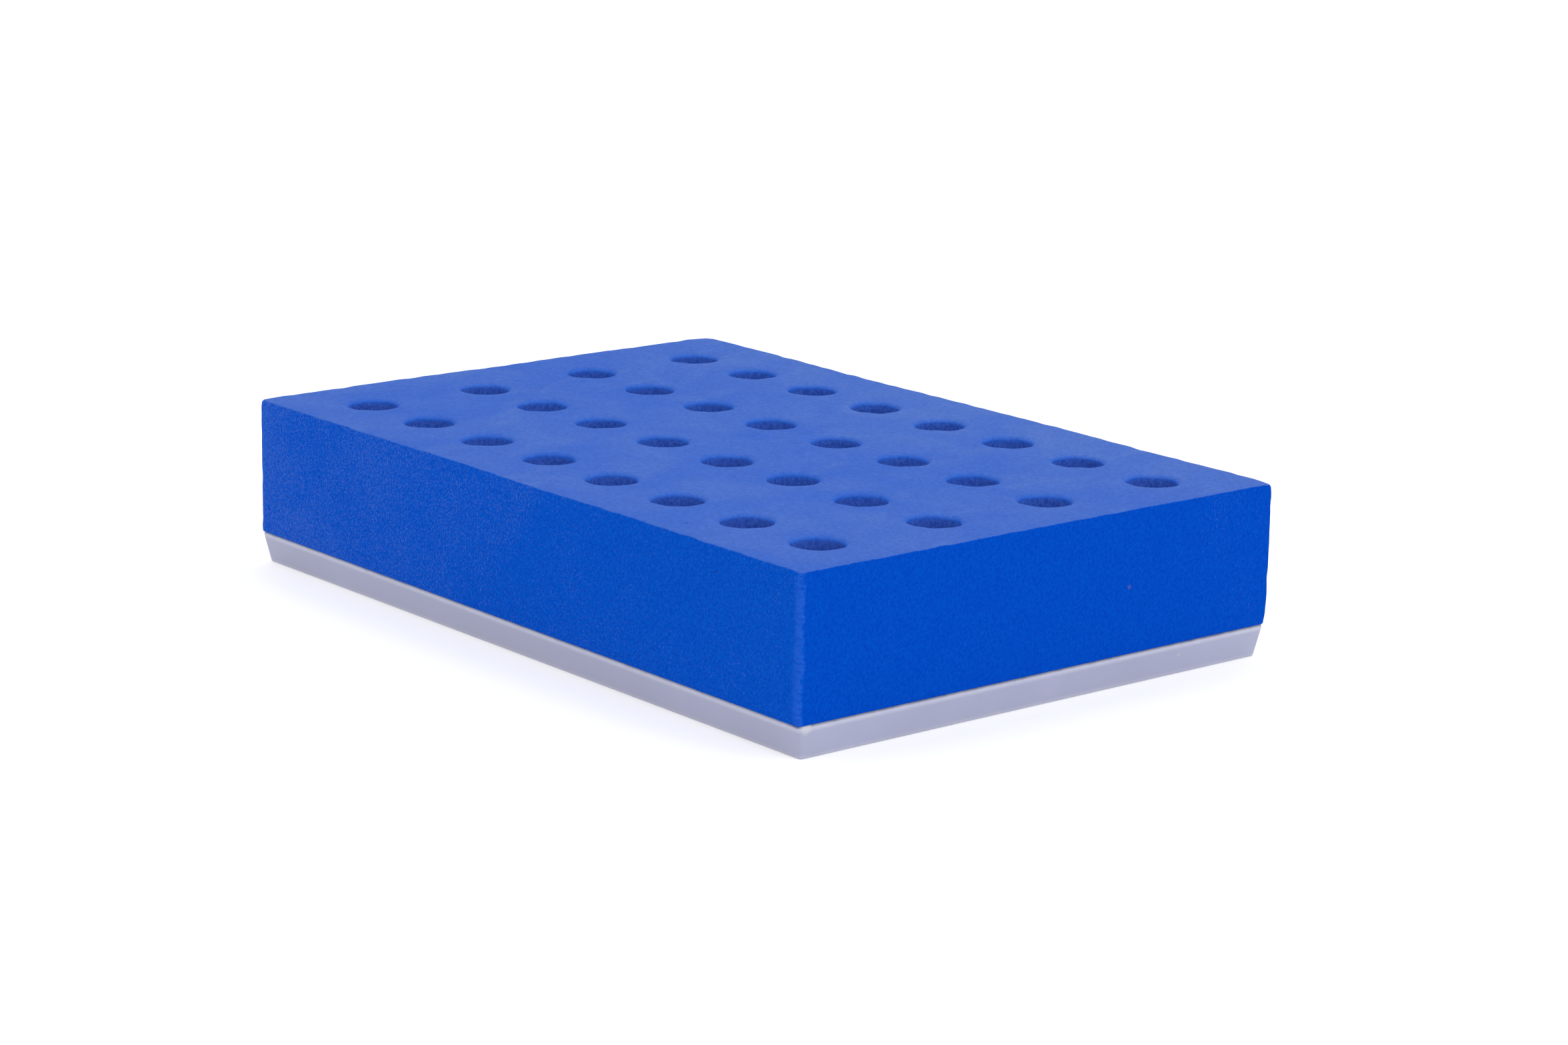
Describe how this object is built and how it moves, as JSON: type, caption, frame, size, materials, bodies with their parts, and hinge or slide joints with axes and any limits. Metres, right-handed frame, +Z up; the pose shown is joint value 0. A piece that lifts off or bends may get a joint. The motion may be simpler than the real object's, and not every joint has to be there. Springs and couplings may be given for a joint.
{
  "type": "test tube rack",
  "caption": "Rectangular test tube rack: a thick block of soft blue foam with rows of round upright holes, set in a shallow light grey plastic tray with sloping sides.",
  "frame": {"origin": "middle of the tray's foot, on the surface that the rack stands on", "axes": "+X along the long side and its rows of eight holes, +Y along the short side, +Z up, out of the holes"},
  "size_m": [0.276, 0.188, 0.0548],
  "materials": {
    "blue_foam": "matte",
    "grey_plastic": "satin"
  },
  "bodies": {
    "tray": {"base_tray": "grey_plastic"},
    "foam_insert": {"foam_block": "blue_foam"}
  },
  "joints": [
    {"name": "block_lift", "type": "slide", "parent": "tray", "child": "foam_insert", "axis": [0, 0, 1], "range_m": [0, 0.025]}
  ]
}
